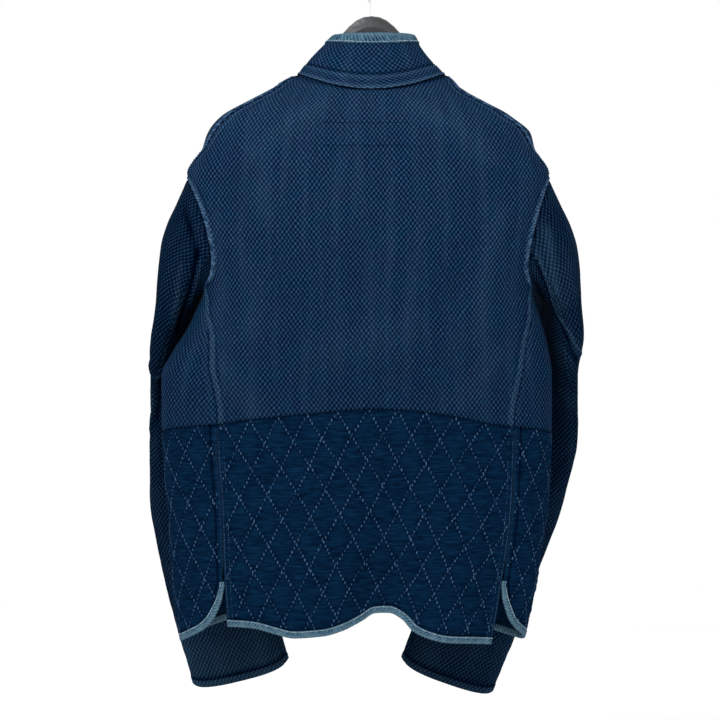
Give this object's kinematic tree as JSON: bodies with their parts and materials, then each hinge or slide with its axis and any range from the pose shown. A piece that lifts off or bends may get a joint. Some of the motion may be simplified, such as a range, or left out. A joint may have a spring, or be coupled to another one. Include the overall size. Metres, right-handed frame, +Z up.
{
  "type": "sashiko jacket on a clothes hanger",
  "caption": "Indigo sashiko jacket with rice-grain weave, a diamond-stitched hem band, faded bound edges and side vents, hung on a black plastic hanger with a wire hook.",
  "frame": {"origin": "inside top of the hanger's hook, where it rests on a rod", "axes": "+Z up; +Y from the pictured back of the jacket to its front; +X to the right as seen in the picture"},
  "size_m": [0.559, 0.2596, 0.952],
  "materials": {
    "grain_cloth": "rice-grain weave, matte, indigo",
    "sleeve_cloth": "rice-grain weave, matte, darker indigo",
    "band_cloth": "plain weave, matte, deep indigo with pale running stitches",
    "faded_tape": "washed-out plain tape, matte",
    "hanger_plastic": "satin black",
    "hook_wire": "bright wire"
  },
  "bodies": {
    "root": {"back_body": "grain_cloth", "front_body_left": "grain_cloth", "front_body_right": "grain_cloth", "collar": "grain_cloth", "sleeve_left_top": "sleeve_cloth", "sleeve_left_under": "sleeve_cloth", "sleeve_right_top": "sleeve_cloth", "sleeve_right_under": "sleeve_cloth", "back_skirt": "band_cloth", "front_skirt_left": "band_cloth", "front_skirt_right": "band_cloth", "collar_binding": "faded_tape", "back_hem_binding": "faded_tape", "front_hem_binding_left": "faded_tape", "front_hem_binding_right": "faded_tape", "hanger_body": "hanger_plastic", "hanger_hook": "hook_wire"}
  },
  "joints": []
}
